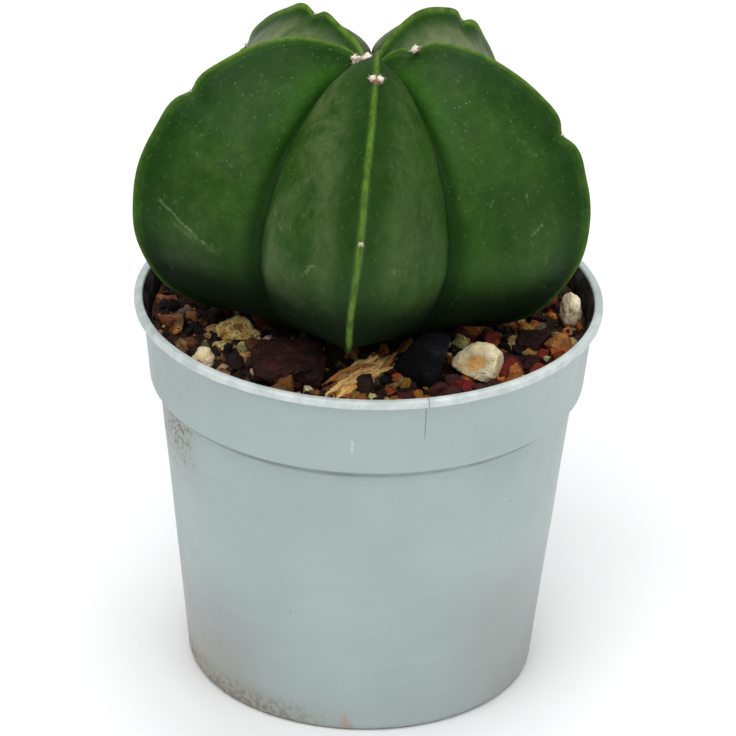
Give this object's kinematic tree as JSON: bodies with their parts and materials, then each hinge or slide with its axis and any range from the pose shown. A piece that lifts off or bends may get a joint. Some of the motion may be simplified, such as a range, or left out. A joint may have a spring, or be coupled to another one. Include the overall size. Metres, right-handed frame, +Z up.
{
  "type": "potted bishop's cap cactus",
  "caption": "Ribbed spineless bishop's cap cactus standing in a small tapered plastic grower pot, with a gritty growing mix and mixed stones on top.",
  "frame": {"origin": "centre of the pot's underside, on the plane it rests on", "axes": "+Z up along the pot's axis; -Y is the front, where one rib faces the viewer; +X to the right of the front"},
  "size_m": [0.055, 0.0556, 0.0816],
  "materials": {
    "pot": "satin",
    "mix": "matte",
    "stem": "satin",
    "wool": "matte",
    "lava": "matte",
    "bark": "matte",
    "charcoal": "matte",
    "pumice": "matte",
    "ochre": "matte",
    "grit": "matte"
  },
  "bodies": {
    "root": {"bark_chip_back": "bark", "bark_chip_front": "bark", "cactus_stem": "stem", "charcoal_chip": "charcoal", "cream_pebble_left": "pumice", "grit_01": "lava", "grit_02": "ochre", "grit_03": "grit", "grit_04": "lava", "grit_05": "lava", "grit_06": "grit", "grit_07": "lava", "grit_08": "ochre", "grit_09": "grit", "grit_10": "lava", "grit_11": "lava", "grit_12": "grit", "grit_13": "lava", "grit_14": "ochre", "grit_15": "grit", "grit_16": "lava", "grit_17": "lava", "grit_18": "grit", "grit_19": "lava", "grit_20": "ochre", "grit_21": "grit", "grit_22": "lava", "grit_23": "lava", "grit_24": "grit", "growing_mix": "mix", "lava_stone_back": "lava", "lava_stone_large": "lava", "lava_stone_right": "lava", "ochre_stone_left": "ochre", "pot": "pot", "pumice_pebble_back": "pumice", "pumice_pebble_front": "pumice", "pumice_pebble_right": "pumice", "wool_crown": "wool", "wool_tuft_back_left_1": "wool", "wool_tuft_back_left_2": "wool", "wool_tuft_back_right_1": "wool", "wool_tuft_front_1": "wool", "wool_tuft_front_2": "wool", "wool_tuft_left_1": "wool", "wool_tuft_right_1": "wool", "wool_tuft_right_2": "wool"}
  },
  "joints": []
}
